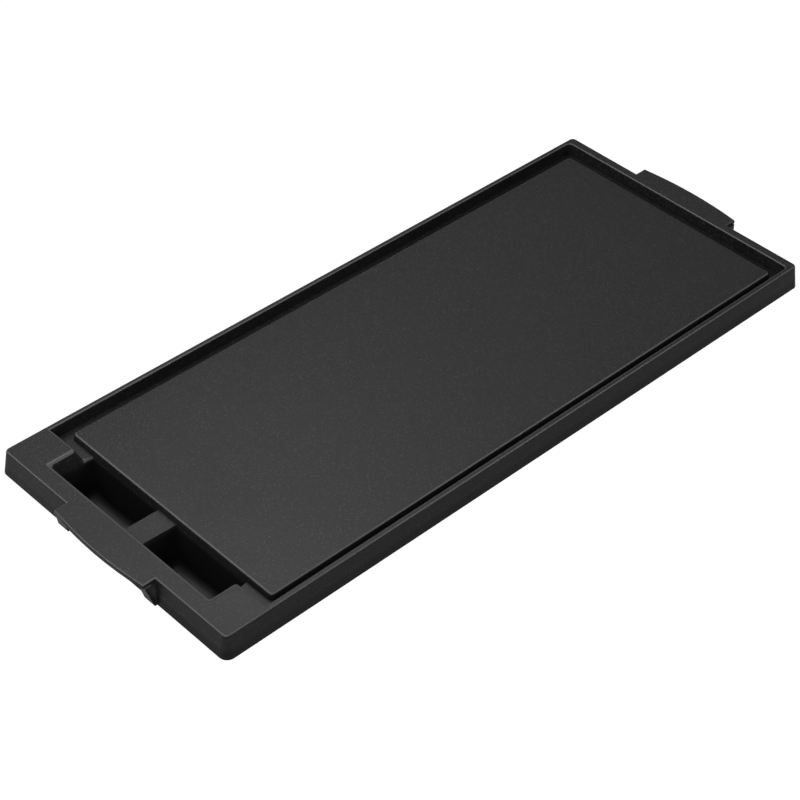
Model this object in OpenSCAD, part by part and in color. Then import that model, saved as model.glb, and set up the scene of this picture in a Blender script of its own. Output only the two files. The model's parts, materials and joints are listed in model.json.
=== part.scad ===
// Electric griddle: a cast plate with a drain channel and two drip chutes, over a
// tubular element, a reflector and a base pan, with a drip tray that slides out at one end.
// X runs along the plate (drip end at -X), Y across it, Z up from the table.

/* [Griddle plate] */
// Length of the plate's top face, without the handles
top_len = 535; // [500:1:560]
// Width of the plate's top face
top_wid = 219.6; // [200:0.2:240]
// Height of the skirt round the plate
skirt_h = 18; // [16:0.5:22]
// How far each side of the skirt spreads from top to bottom
skirt_flare = 2.8; // [1:0.1:4]
// Height of the skirt's bottom edge above the table
skirt_z = 26; // [24:0.5:30]
// Corner radius of the top face
corner_r = 3.4; // [3:0.2:6]
// Wall thickness of the skirt
skirt_t = 3.6; // [3:0.1:4]
// Width of the raised rim along the two long sides
rim_side_w = 3.8; // [3:0.1:6]
// Width of the raised rim at the end without chutes
rim_end_w = 7.5; // [5:0.1:10]
// Distance from the drip end's edge to the channel floor
shelf_w = 37.5; // [34:0.5:40]
// How far the channel's wall leans back at the drip end
shelf_lean = 4.4; // [2:0.2:5]

/* [Cooking surface] */
// How far the cooking surface lies below the rim
slab_drop = 5.2; // [4:0.1:6]
// How far the channel floor lies below the rim
channel_drop = 10; // [8:0.5:11]
// Width of the drain channel along the long sides
channel_w = 8; // [6:0.5:10]
// How far each side of the raised surface spreads down to the channel
slab_flare = 1.2; // [0.5:0.1:2]
// Thickness of metal below the channel floor
floor_t = 3.5; // [3:0.1:5]

/* [Drip chutes] */
// Gap between the two chutes, at the channel floor
bridge_w = 18; // [14:1:24]
// Distance from the middle to the outer end of a chute, at the top
chute_end_y = 79.5; // [70:0.5:84]
// Distance from the drip end's edge to the chutes, at the top
chute_inset = 12.8; // [10:0.2:16]
// How far the chutes reach below the skirt
chute_depth = 10.7; // [8:0.1:12]
// Sideways run of the chute walls for each unit of depth
chute_slope = 0.35; // [0.2:0.01:0.4]
// Wall thickness of the chutes
chute_t = 3; // [2.5:0.1:4]

/* [Handles] */
// Width of a handle tab
handle_w = 88.4; // [80:0.2:100]
// How far a handle reaches past the top face at its middle
handle_out = 12.8; // [10:0.1:20]
// How much less it reaches at its two ends
handle_bow = 3.2; // [1:0.1:5]
// Thickness of a handle tab
handle_t = 3.2; // [2.5:0.1:4]
// Thickness of the web under each end of a handle
web_t = 6; // [4:0.5:8]
// How much further out sideways a web stands at its foot
web_flare = 3.4; // [1:0.2:5]

/* [Heating element] */
// Diameter of the element's sheath
element_d = 6.5; // [6:0.1:7.5]
// Distance between the two terminal legs
leg_gap = 30; // [26:1:34]
// Place of the inlet along the plate
inlet_x = 145; // [120:1:150]

/* [Base] */
// Height of the base pan's floor above the table
base_z = 8; // [7:0.5:10]
// Sheet thickness of the base pan
pan_t = 1.2; // [0.8:0.1:1.6]
// Sheet thickness of the reflector
reflector_t = 0.8; // [0.6:0.1:1]
// Diameter of a rubber foot
foot_d = 20; // [16:1:24]

/* [Drip tray] */
// Sheet thickness of the drip tray
tray_t = 1.2; // [1:0.1:1.6]
// Half the width of the tray between its side walls
tray_half_w = 86; // [84:0.5:87]

/* [Hidden] */
$fn = 48;
fine = 360;
eps = 0.01;
cut = 1;

// levels
rim_z = skirt_z + skirt_h;
slab_z = rim_z - slab_drop;
channel_z = rim_z - channel_drop;
under_z = channel_z - floor_t;
shelf_t = 4;
shelf_under_z = rim_z - shelf_t;
chute_z = skirt_z - chute_depth;

// plan of the plate
half_len = top_len / 2;
half_wid = top_wid / 2;
recess_x0 = -half_len + shelf_w;
recess_x1 = half_len - rim_end_w;
recess_y = half_wid - rim_side_w;
recess_r = 3;
slab_x0 = recess_x0 + channel_w;
slab_x1 = recess_x1 - channel_w;
slab_y = recess_y - channel_w;
slab_r = 2.6;

// webs under the handles
web_lip = 0.8;
web_foot = 1.8;
web_set_in = 0.8;
web_root = 1;

// hollows underneath: a deep one below the shelf and a shallower one below the channel
hollow_r = 5;
hollow_x = recess_x0 - 6;
skirt_in = half_wid - skirt_t;

// chute mouth, measured at the rim's level
chute_x0 = -half_len + chute_inset;
chute_x1 = slab_x0 - slab_flare + chute_slope * channel_drop;
chute_y0 = bridge_w / 2 - chute_slope * channel_drop;

// heating element: straight runs [x0, y0, x1, y1] and bends [cx, cy, r, start angle, sweep]
el_r = element_d / 2;
el_z = under_z;
el_left = -170;
run_out = 72;
run_in = 26;
turn_out = (run_out - run_in) / 2;
mid_x = 150;
end_x = 198;
end_r = 20;
leg_r = 8;
leg_drop = 6;
leg_x = [inlet_x - leg_gap / 2, inlet_x + leg_gap / 2];
EL_RUNS = [[leg_x[0] - leg_r, run_out, el_left, run_out],
           [el_left, run_in, mid_x, run_in],
           [mid_x, -run_in, el_left, -run_in],
           [el_left, -run_out, end_x, -run_out],
           [end_x + end_r, -run_out + end_r, end_x + end_r, run_out - end_r],
           [end_x, run_out, leg_x[1] + leg_r, run_out]];
EL_BENDS = [[leg_x[0] - leg_r, run_out + leg_r, leg_r, -90, 90],
            [el_left, run_out - turn_out, turn_out, 90, 180],
            [mid_x, 0, run_in, -90, 180],
            [el_left, -run_out + turn_out, turn_out, 90, 180],
            [end_x, -run_out + end_r, end_r, -90, 90],
            [end_x, run_out - end_r, end_r, 0, 90],
            [leg_x[1] + leg_r, run_out + leg_r, leg_r, 180, 90]];
leg_y = run_out + leg_r;
leg_z = el_z - 2 * leg_drop;
sheath_end = 96;
pin_d = 4;
pin_end = 108;
bead_t = 2.4;
groove_clear = 0.3;
leg_clear = 0.6;
insulator_d = 9;

// clamps that press the element into its groove: [x, y] on the straight runs
clamp_gap = 9;
clamp_t = 1.2;
clamp_w = 12;
clamp_pad = 1.6;
clamp_reach = 4;
strap_clear = 0.2;
CLAMPS = [for (x = [-120, 60]) for (y = [-run_out, -run_in, run_in, run_out]) [x, y]];

// posts that carry the reflector and the base pan
POSTS = [for (x = [-146, 18, 202]) for (y = [-49, 49]) [x, y]];
post_d = 11;
reflector_z = 21;
post_h = under_z - reflector_z - reflector_t;
spacer_d = 8;

// fixings: machine screws, their nuts and washers, and the smaller clamp screws
screw_d = 4;
hole_d = 4.4;
screw_play = 0.06;
screw_head_d = 7.5;
screw_head_h = 2.6;
socket_w = 0.75;
socket_h = 0.6;
nut_flats = 7;
nut_h = 3.2;
washer_d = 9;
washer_t = 0.8;
post_bite = 9;
clamp_screw_d = 2.9;
clamp_tap_d = 3;
clamp_hole_d = 3.4;
clamp_head_d = 5.5;
clamp_head_h = 1.8;
clamp_screw_len = 6;

// base pan
pan_x0 = -206;
pan_x1 = 244;
pan_y = 92;
pan_top = 25;
pan_r = 12;
refl_x0 = -198;
refl_x1 = 236;
refl_y = 78;
refl_lip = 4;
foot_inset = 22;
FEET = [for (x = [pan_x0 + foot_inset, pan_x1 - foot_inset]) for (y = [-74, 74]) [x, y]];
foot_chamfer = 2;
foot_bore_d = 9;
foot_bore_h = 4;
slot_w = 4;
slot_l = 28;
slot_r = 1.9;
SLOTS = [for (x = [-60 : 20 : 100]) for (y = [-30, 30]) [x, y]];

// inlet
shroud_w = 60;
shroud_z0 = 9.5;
shroud_z1 = 25.4;
shroud_t = 2.4;
shroud_back = 3;
shroud_y1 = 110;
ear_w = 11;
sensor_r = 3.5;
sensor_wall = 0.6;
sensor_y0 = 81;
boss_w = 13;
boss_y1 = 90;
boss_half_h = 6;
ear_half_h = 6;
inlet_wall_hole = 8;
leg_hole = 6.6;
sensor_hole = 7.1;
wall_screw_len = 9;

// drip tray and its rails
tray_x0 = -255;
tray_x1 = -217;
tray_lip_x = -265;
tray_lip_h = 3.5;
tray_top = 23;
tray_back_h = 6;
flange_w = 4;
pull_w = 68;
tray_front_x = tray_lip_x + 3;
tray_lip_w = 3.6;
rail_t = 1.2;
rail_x0 = -262;
rail_x1 = -215.4;
rail_in = tray_half_w + 1;
rail_out = tray_half_w + flange_w + 1;
pad_h = 4;
pad_d = 10;
RAIL_HOLES = [-256, -241];
rail_foot_z = shelf_under_z - pad_h;
rail_screw_y = rail_out + 7;
rail_screw_len = 6;
rail_bite = 5.6;
rail_play = 0.2;
rail_lap = 6;
rail_stop_h = 4;
rail_foot_w = 5;
rail_foot_x = hollow_x - 1;

// ---- shared shapes ----

// Block with a flat top, round corners and sides that spread by flare down to z = 0
module flared_block(l, w, r, h, flare) {
    rotate([90, 0, 0]) linear_extrude(w - 2 * r, center = true)
        polygon([[-l / 2 - flare, 0], [l / 2 + flare, 0], [l / 2, h], [-l / 2, h]]);
    rotate([90, 0, 90]) linear_extrude(l - 2 * r, center = true)
        polygon([[-w / 2 - flare, 0], [w / 2 + flare, 0], [w / 2, h], [-w / 2, h]]);
    for (x = [-1, 1]) for (y = [-1, 1])
        translate([x * (l / 2 - r), y * (w / 2 - r), 0]) cylinder(h = h, r1 = r + flare, r2 = r);
}

// Rectangle from corner a to corner b with round corners, extruded from z0 to z1
module slab_block(a, b, r, z0, z1) {
    translate([0, 0, z0]) linear_extrude(z1 - z0) {
        translate([a[0] + r, a[1]]) square([b[0] - a[0] - 2 * r, b[1] - a[1]]);
        translate([a[0], a[1] + r]) square([b[0] - a[0], b[1] - a[1] - 2 * r]);
        for (x = [a[0] + r, b[0] - r]) for (y = [a[1] + r, b[1] - r]) translate([x, y]) circle(r);
    }
}

// Box from its low corner to its high corner
module block(a, b) {
    translate(a) cube([b[0] - a[0], b[1] - a[1], b[2] - a[2]]);
}

// Pressed tub: a floor, walls of sheet t and round corners
module tub(x0, x1, y, r, z0, z1, t) {
    difference() {
        slab_block([x0, -y], [x1, y], r, z0, z1);
        slab_block([x0 + t, -y + t], [x1 - t, y - t], r - t, z0 + t, z1 + cut);
    }
}

// Pan-head screw with its head's underside at z = 0 and its shank going up
module screw(d, len, head_d, head_h) {
    difference() {
        union() {
            translate([0, 0, -eps]) cylinder(h = len + eps, d = d);
            translate([0, 0, -head_h]) cylinder(h = head_h, d = head_d);
        }
        translate([0, 0, -head_h - eps]) cylinder(h = head_h * socket_h, d = d * socket_w, $fn = 6);
    }
}

module machine_screw(len) {
    screw(screw_d - screw_play, len, screw_head_d, screw_head_h);
}

// Washer lying on z = 0
module washer(d, hole, t) {
    difference() {
        cylinder(h = t, d = d);
        translate([0, 0, -cut]) cylinder(h = t + 2 * cut, d = hole);
    }
}

// Hexagon nut lying on z = 0
module hex_nut(flats, hole, t) {
    difference() {
        cylinder(h = t, d = flats / cos(30), $fn = 6);
        translate([0, 0, -cut]) cylinder(h = t + 2 * cut, d = hole);
    }
}

// ---- griddle plate ----

// The chute's shape: four planes that close in with depth, widened all round by grow
module chute_block(grow, z0, z1) {
    top = rim_z;
    low = chute_slope * (top - z0);
    high = chute_slope * (top - z1);
    intersection() {
        rotate([90, 0, 0]) linear_extrude(top_wid, center = true)
            polygon([[chute_x0 + low - grow, z0], [chute_x1 - low + grow, z0],
                     [chute_x1 - high + grow, z1], [chute_x0 + high - grow, z1]]);
        rotate([90, 0, 90]) linear_extrude(2 * top_len, center = true)
            polygon([[chute_y0 + low - grow, z0], [chute_end_y - low + grow, z0],
                     [chute_end_y - high + grow, z1], [chute_y0 + high - grow, z1]]);
    }
}

// The opening in the shelf over both chutes, down to the channel's level
module chute_mouth() {
    lean = chute_slope * channel_drop;
    over = chute_slope * cut;
    intersection() {
        rotate([90, 0, 0]) linear_extrude(top_wid, center = true)
            polygon([[chute_x0 + lean, channel_z], [recess_x0 + cut, channel_z],
                     [recess_x0 + cut, rim_z + cut], [chute_x0 - over, rim_z + cut]]);
        rotate([90, 0, 90]) linear_extrude(2 * top_len, center = true)
            polygon([[-chute_end_y + lean, channel_z], [chute_end_y - lean, channel_z],
                     [chute_end_y + over, rim_z + cut], [-chute_end_y - over, rim_z + cut]]);
    }
}

// Element track as a flat outline of width w: slots for the runs, square pockets for the bends
module element_track(w) {
    for (s = EL_RUNS) {
        side = s[0] == s[2] ? [w, 0] : [0, w];
        translate([min(s[0], s[2]), min(s[1], s[3])] - side / 2)
            square([abs(s[2] - s[0]), abs(s[3] - s[1])] + side);
    }
    for (b = EL_BENDS) {
        reach = b[2] + w / 2;
        translate([b[0], b[1]]) rotate(b[3])
            translate([b[4] > 90 ? -reach : 0, 0]) square([b[4] > 90 ? 2 * reach : reach, reach]);
    }
}

// Handle tab with its two webs, at the +X end
module handle() {
    bow_r = (pow(handle_w / 2, 2) + pow(handle_bow, 2)) / (2 * handle_bow);
    translate([0, 0, rim_z - handle_t]) linear_extrude(handle_t) intersection() {
        translate([half_len - corner_r, -handle_w / 2]) square([corner_r + handle_out + cut, handle_w]);
        translate([half_len + handle_out - bow_r, 0]) circle(bow_r, $fn = fine);
    }
    web_z = rim_z - handle_t + eps;
    for (m = [0, 1]) mirror([0, m, 0]) intersection() {
        rotate([90, 0, 0]) linear_extrude(handle_w + 4 * web_flare, center = true)
            polygon([[half_len - web_root, skirt_z], [half_len + skirt_flare + web_foot, skirt_z],
                     [half_len + handle_out - handle_bow - web_set_in, web_z],
                     [half_len - web_root, web_z]]);
        rotate([90, 0, 90]) linear_extrude(top_len)
            polygon([[handle_w / 2 - web_t, skirt_z], [handle_w / 2 + web_lip + web_flare, skirt_z],
                     [handle_w / 2 + web_lip, web_z], [handle_w / 2 - web_t, web_z]]);
    }
}

module griddle_plate() {
    color([0.11, 0.11, 0.11]) difference() {
        union() {
            difference() {
                translate([0, 0, skirt_z]) flared_block(top_len, top_wid, corner_r, skirt_h, skirt_flare);
                // drain channel and the recess over the cooking surface
                slab_block([recess_x0, -recess_y], [recess_x1, recess_y], recess_r, channel_z, rim_z + cut);
                rotate([90, 0, 0]) linear_extrude(2 * recess_y, center = true)
                    polygon([[recess_x0, channel_z], [recess_x0 + recess_r, channel_z],
                             [recess_x0 + recess_r, rim_z + cut], [recess_x0 - shelf_lean, rim_z + cut],
                             [recess_x0 - shelf_lean, rim_z]]);
                slab_block([hollow_x - cut, -skirt_in - skirt_flare / 2],
                           [half_len - skirt_t, skirt_in + skirt_flare / 2], hollow_r,
                           skirt_z - cut, under_z);
                slab_block([-half_len + skirt_t - 1, -skirt_in], [hollow_x, skirt_in], hollow_r,
                           skirt_z - cut, shelf_under_z);
            }
            // raised cooking slab
            translate([(slab_x0 + slab_x1) / 2, 0, channel_z - eps])
                flared_block(slab_x1 - slab_x0, 2 * slab_y, slab_r, slab_z - channel_z + eps, slab_flare);
            // outer walls of the chutes
            for (m = [0, 1]) mirror([0, m, 0]) intersection() {
                chute_block(chute_t, chute_z, shelf_under_z + eps);
                union() {
                    block([-half_len, 0, chute_z], [slab_x0 + 20, half_wid, under_z + eps]);
                    block([-half_len, 0, under_z], [hollow_x + eps, half_wid, shelf_under_z + eps]);
                }
            }
            // bridge between the chutes
            block([chute_x0 - chute_t, -bridge_w / 2, under_z],
                  [recess_x0, bridge_w / 2, shelf_under_z + eps]);
            for (m = [0, 1]) mirror([m, 0, 0]) handle();
            // pads for the rail screws
            for (s = [-1, 1]) for (x = RAIL_HOLES)
                translate([x, s * rail_screw_y, rail_foot_z]) cylinder(h = pad_h + eps, d = pad_d);
            // posts for the reflector and base pan
            for (p = POSTS)
                translate([p[0], p[1], under_z - post_h]) cylinder(h = post_h + eps, d = post_d);
            // pads that the clamps are screwed to
            for (c = CLAMPS) for (s = [-1, 1]) translate([c[0], c[1] + s * clamp_gap, under_z])
                block([-clamp_w / 2 - 1, -clamp_reach, -clamp_pad], [clamp_w / 2 + 1, clamp_reach, eps]);
            // socket block for the sensor tube
            block([inlet_x - boss_w / 2, sensor_y0 - 1, leg_z - boss_half_h],
                  [inlet_x + boss_w / 2, boss_y1, under_z + eps]);
        }
        chute_mouth();
        for (m = [0, 1]) mirror([0, m, 0]) chute_block(0, chute_z - cut, channel_z + eps);
        // groove for the heating element
        translate([0, 0, under_z - 2]) linear_extrude(el_r + groove_clear + 2)
            element_track(element_d + groove_clear);
        for (x = leg_x)
            block([x - el_r - leg_clear, leg_y - 1, under_z - 2],
                  [x + el_r + leg_clear, pan_y, under_z + el_r + 0.5]);
        // tapped holes
        for (p = POSTS)
            translate([p[0], p[1], under_z - post_h - cut]) cylinder(h = post_bite + cut, d = screw_d);
        for (c = CLAMPS) for (s = [-1, 1])
            translate([c[0], c[1] + s * clamp_gap, under_z - 3])
                cylinder(h = 1.2 + clamp_screw_len, d = clamp_tap_d);
        for (s = [-1, 1]) for (x = RAIL_HOLES)
            translate([x, s * rail_screw_y, rail_foot_z - cut]) cylinder(h = rail_bite + cut, d = screw_d);
        translate([inlet_x, sensor_y0, leg_z]) rotate([-90, 0, 0]) cylinder(h = 20, r = sensor_r + 0.03);
    }
}

// ---- heating element ----

// Tube round bend b, of radius r
module bend_tube(b, r) {
    translate([b[0], b[1], el_z]) rotate([0, 0, b[3]])
        rotate_extrude(angle = b[4]) translate([b[2], 0]) circle(r, $fn = 24);
}

module heating_element() {
    color([0.33, 0.31, 0.29]) union() {
        for (s = EL_RUNS) {
            len = abs(s[2] - s[0]) + abs(s[3] - s[1]);
            translate([min(s[0], s[2]), min(s[1], s[3]), el_z])
                rotate(s[0] == s[2] ? [-90, 0, 0] : [0, 90, 0]) cylinder(h = len, r = el_r, $fn = 24);
        }
        for (b = EL_BENDS) bend_tube(b, el_r);
        // legs that drop from the plate to the inlet
        for (x = leg_x) translate([x, leg_y, el_z - leg_drop]) rotate([90, 0, 90]) {
            rotate_extrude(angle = 90) translate([leg_drop, 0]) circle(el_r, $fn = 24);
            translate([2 * leg_drop, 0, 0]) rotate([0, 0, 180])
                rotate_extrude(angle = 90) translate([leg_drop, 0]) circle(el_r, $fn = 24);
        }
        for (x = leg_x) translate([x, leg_y + 2 * leg_drop, leg_z]) rotate([-90, 0, 0])
            cylinder(h = sheath_end - leg_y - 2 * leg_drop, r = el_r, $fn = 24);
    }
}

module terminal_pins() {
    pin_len = pin_end - sheath_end;
    color("gainsboro") for (x = leg_x) translate([x, sheath_end, leg_z]) rotate([-90, 0, 0]) {
        cylinder(h = bead_t, d = pin_d + 1);
        cylinder(h = pin_len - 1, d = pin_d);
        translate([0, 0, pin_len - 1]) cylinder(h = 1, d1 = pin_d, d2 = pin_d - 1.2);
    }
}

module pin_insulators() {
    color("ivory") for (x = leg_x) translate([x, sheath_end, leg_z]) rotate([-90, 0, 0])
        washer(insulator_d, pin_d + 1.04, bead_t);
}

module sensor_tube() {
    color("silver") translate([inlet_x, sensor_y0, leg_z]) rotate([-90, 0, 0]) difference() {
        cylinder(h = 17, r = sensor_r);
        translate([0, 0, 1]) cylinder(h = 17, r = sensor_r - sensor_wall);
    }
}

// Saddle strap over the element, at [x, y]; the strap lies across the run
module element_clamps() {
    color("lightsteelblue") for (c = CLAMPS) translate([c[0], c[1], 0]) difference() {
        union() {
            block([-clamp_w / 2, -clamp_gap - clamp_reach, under_z - clamp_pad - clamp_t],
                  [clamp_w / 2, clamp_gap + clamp_reach, under_z - clamp_pad]);
            block([-clamp_w / 2, -el_r - clamp_t - strap_clear, el_z - el_r - clamp_t],
                  [clamp_w / 2, el_r + clamp_t + strap_clear, under_z - clamp_pad]);
        }
        block([-clamp_w, -el_r - strap_clear, el_z - el_r], [clamp_w, el_r + strap_clear, under_z]);
        for (s = [-1, 1]) translate([0, s * clamp_gap, under_z - 5]) cylinder(h = 6, d = clamp_hole_d);
    }
}

module clamp_screws() {
    color("gray") for (c = CLAMPS) for (s = [-1, 1])
        translate([c[0], c[1] + s * clamp_gap, under_z - clamp_pad - clamp_t])
            screw(clamp_screw_d, clamp_screw_len, clamp_head_d, clamp_head_h);
}

// ---- reflector and base ----

module heat_reflector() {
    color("silver") difference() {
        tub(refl_x0, refl_x1, refl_y, 8, reflector_z, reflector_z + refl_lip, reflector_t);
        for (p = POSTS) translate([p[0], p[1], reflector_z - cut]) cylinder(h = 4, d = hole_d);
    }
}

module reflector_spacers() {
    color("lightgray") for (p = POSTS) translate([p[0], p[1], base_z + pan_t])
        washer(spacer_d, hole_d, reflector_z - base_z - pan_t);
}

module base_pan() {
    color([0.16, 0.16, 0.17]) difference() {
        tub(pan_x0, pan_x1, pan_y, pan_r, base_z, pan_top, pan_t);
        for (p = POSTS) translate([p[0], p[1], base_z - cut]) cylinder(h = 4, d = hole_d);
        for (f = FEET) translate([f[0], f[1], base_z - cut]) cylinder(h = 4, d = hole_d);
        // cooling slots in the floor
        for (p = SLOTS)
            slab_block(p - [slot_w, slot_l] / 2, p + [slot_w, slot_l] / 2, slot_r,
                       base_z - cut, base_z + 3);
        // openings for the element's legs, the sensor tube and the inlet screws
        for (x = [leg_x[0], inlet_x, leg_x[1]])
            translate([x, pan_y - 5, leg_z]) rotate([-90, 0, 0]) cylinder(h = 8, d = inlet_wall_hole);
        for (s = [-1, 1]) translate([inlet_x + s * (shroud_w / 2 + ear_w / 2), pan_y - 5, leg_z])
            rotate([-90, 0, 0]) cylinder(h = 8, d = hole_d);
    }
}

module base_washers() {
    color("gainsboro") for (p = POSTS)
        translate([p[0], p[1], base_z - washer_t]) washer(washer_d, hole_d, washer_t);
}

module base_screws() {
    color("gray") for (p = POSTS) translate([p[0], p[1], base_z - washer_t])
        machine_screw(reflector_z + post_bite - base_z);
}

module rubber_feet() {
    color([0.09, 0.09, 0.09]) for (f = FEET) translate([f[0], f[1], 0]) difference() {
        union() {
            cylinder(h = foot_chamfer, d1 = foot_d - foot_chamfer, d2 = foot_d);
            translate([0, 0, foot_chamfer]) cylinder(h = base_z - foot_chamfer, d = foot_d);
        }
        translate([0, 0, -cut]) cylinder(h = foot_bore_h + cut, d = foot_bore_d);
        cylinder(h = base_z + cut, d = hole_d);
    }
}

module foot_screws() {
    color("gray") for (f = FEET) translate([f[0], f[1], foot_bore_h]) machine_screw(wall_screw_len);
}

module foot_nuts() {
    color("gainsboro") for (f = FEET)
        translate([f[0], f[1], base_z + pan_t]) hex_nut(nut_flats, screw_d, nut_h);
}

// ---- inlet ----

module inlet_shroud() {
    x0 = inlet_x - shroud_w / 2;
    x1 = inlet_x + shroud_w / 2;
    color([0.07, 0.07, 0.07]) difference() {
        union() {
            block([x0, pan_y, shroud_z0], [x1, shroud_y1, shroud_z1]);
            block([x0 - ear_w, pan_y, leg_z - ear_half_h],
                  [x1 + ear_w, pan_y + shroud_back, leg_z + ear_half_h]);
        }
        block([x0 + shroud_t, pan_y + shroud_back, shroud_z0 + shroud_t],
              [x1 - shroud_t, shroud_y1 + cut, shroud_z1 - shroud_t]);
        for (x = leg_x)
            translate([x, pan_y - cut, leg_z]) rotate([-90, 0, 0]) cylinder(h = 6, d = leg_hole);
        translate([inlet_x, pan_y - cut, leg_z]) rotate([-90, 0, 0]) cylinder(h = 6, d = sensor_hole);
        for (s = [-1, 1]) translate([inlet_x + s * (shroud_w / 2 + ear_w / 2), pan_y - cut, leg_z])
            rotate([-90, 0, 0]) cylinder(h = 6, d = hole_d);
    }
}

module inlet_screws() {
    color("gray") for (s = [-1, 1])
        translate([inlet_x + s * (shroud_w / 2 + ear_w / 2), pan_y + shroud_back, leg_z])
            rotate([90, 0, 0]) machine_screw(wall_screw_len);
}

module inlet_nuts() {
    color("gainsboro") for (s = [-1, 1])
        translate([inlet_x + s * (shroud_w / 2 + ear_w / 2), pan_y - pan_t, leg_z])
            rotate([90, 0, 0]) hex_nut(nut_flats, screw_d, nut_h);
}

// ---- drip tray ----

// Z-shaped rail on the +Y side, with a stop at its inner end
module tray_rail() {
    ledge_z = tray_top - tray_t - rail_play;
    difference() {
        union() {
            block([rail_x0, rail_in, ledge_z - rail_t], [rail_x1, rail_out, ledge_z]);
            block([rail_x0, rail_out - eps, ledge_z - rail_t],
                  [rail_x1, rail_out + rail_t, ledge_z + rail_lap]);
            block([rail_x0, rail_out - eps, ledge_z], [rail_foot_x, rail_out + rail_t, rail_foot_z]);
            block([rail_x0, rail_out, rail_foot_z - rail_t],
                  [rail_foot_x, rail_screw_y + rail_foot_w, rail_foot_z]);
            block([rail_x1 - rail_t, rail_in, ledge_z - eps], [rail_x1, rail_out, ledge_z + rail_stop_h]);
        }
        for (x = RAIL_HOLES) translate([x, rail_screw_y, rail_foot_z - 4]) cylinder(h = 6, d = hole_d);
    }
}

module tray_rail_left() {
    color("silver") tray_rail();
}

module tray_rail_right() {
    color("silver") mirror([0, 1, 0]) tray_rail();
}

module rail_screws() {
    color("gray") for (s = [-1, 1]) for (x = RAIL_HOLES)
        translate([x, s * rail_screw_y, rail_foot_z - rail_t]) machine_screw(rail_screw_len);
}

// Side view of the tray's space: a low back, and a front that leans out to the pull lip
module tray_side(inset, lift) {
    polygon([[tray_x0 + inset, base_z + lift], [tray_x1 - inset, base_z + lift],
             [tray_x1 - inset, tray_top + (lift > 0 ? cut : 0)],
             [tray_front_x + inset * 1.2, tray_top + (lift > 0 ? cut : 0)]]);
}

module drip_tray() {
    color([0.42, 0.42, 0.43]) union() {
        difference() {
            rotate([90, 0, 0]) linear_extrude(2 * tray_half_w, center = true) tray_side(0, 0);
            rotate([90, 0, 0]) linear_extrude(2 * (tray_half_w - tray_t), center = true)
                tray_side(tray_t, tray_t);
            // the back is low, so that it passes under the chutes
            block([tray_x1 - 5, -tray_half_w + tray_t, base_z + tray_back_h],
                  [tray_x1 + cut, tray_half_w - tray_t, tray_top + cut]);
        }
        // side flanges that ride on the rails
        for (s = [0, 1]) mirror([0, s, 0])
            block([tray_front_x, tray_half_w - eps, tray_top - tray_t],
                  [tray_x1, tray_half_w + flange_w, tray_top]);
        // pull lip along the front
        block([tray_lip_x, -tray_half_w - flange_w, tray_top - tray_t],
              [tray_lip_x + tray_lip_w, tray_half_w + flange_w, tray_top]);
        block([tray_lip_x, -pull_w / 2, tray_top - tray_lip_h],
              [tray_lip_x + tray_t, pull_w / 2, tray_top]);
    }
}

griddle_plate();
heating_element();
terminal_pins();
pin_insulators();
sensor_tube();
element_clamps();
clamp_screws();
heat_reflector();
reflector_spacers();
base_pan();
base_screws();
base_washers();
inlet_shroud();
inlet_screws();
inlet_nuts();
tray_rail_left();
tray_rail_right();
rail_screws();
drip_tray();
rubber_feet();
foot_screws();
foot_nuts();
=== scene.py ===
import json
import math

import bpy
from mathutils import Matrix, Vector


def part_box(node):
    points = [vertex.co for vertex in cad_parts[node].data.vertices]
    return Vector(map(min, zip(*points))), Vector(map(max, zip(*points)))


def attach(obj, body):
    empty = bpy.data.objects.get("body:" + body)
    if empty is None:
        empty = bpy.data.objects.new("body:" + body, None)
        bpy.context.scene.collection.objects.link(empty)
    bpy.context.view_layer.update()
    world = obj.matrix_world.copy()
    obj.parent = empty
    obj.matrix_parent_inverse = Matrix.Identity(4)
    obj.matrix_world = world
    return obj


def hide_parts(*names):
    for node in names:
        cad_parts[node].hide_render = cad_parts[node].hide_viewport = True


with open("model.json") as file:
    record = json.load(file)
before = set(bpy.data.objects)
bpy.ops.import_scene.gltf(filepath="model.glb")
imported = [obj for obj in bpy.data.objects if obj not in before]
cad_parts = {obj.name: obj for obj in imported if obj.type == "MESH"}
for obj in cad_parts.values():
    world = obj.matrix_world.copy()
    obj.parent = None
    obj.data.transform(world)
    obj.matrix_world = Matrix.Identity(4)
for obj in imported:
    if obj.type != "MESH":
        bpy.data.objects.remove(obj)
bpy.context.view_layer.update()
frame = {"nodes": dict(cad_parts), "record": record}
scene = bpy.context.scene
scene.view_settings.view_transform = "Standard"
MM = 0.001

# ---- levels and places ----

RIM_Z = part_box("griddle_plate")[1][2]
SKIRT_Z = 26 * MM
SLAB_Z = RIM_Z - 5.2 * MM
CHANNEL_Z = RIM_Z - 10 * MM

SLOT_OF = {part["node"]: part["material_slot"] for part in frame["record"]["subparts"]}

# ---- camera and studio ----


def add_camera():
    """A long lens from the drip end's corner, turned slightly about its own axis."""
    azimuth, elevation, roll = (math.radians(d) for d in (-44.77, 40.95, 1.71))
    level = Vector((math.cos(azimuth), math.sin(azimuth), 0))
    back = Vector((level.y * math.cos(elevation), -level.x * math.cos(elevation), math.sin(elevation)))
    upright = back.cross(level)
    right = level * math.cos(roll) + upright * math.sin(roll)
    up = upright * math.cos(roll) - level * math.sin(roll)
    data = bpy.data.cameras.new("studio_camera")
    data.sensor_width = 36
    data.lens = 94.21
    data.clip_start = 0.05
    data.clip_end = 50
    camera = bpy.data.objects.new("studio_camera", data)
    scene.collection.objects.link(camera)
    camera.matrix_world = Matrix((right, up, back)).transposed().to_4x4()
    camera.location = Vector((-0.0316, -0.0103, SKIRT_Z)) + back * 1.411
    scene.camera = camera


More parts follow.
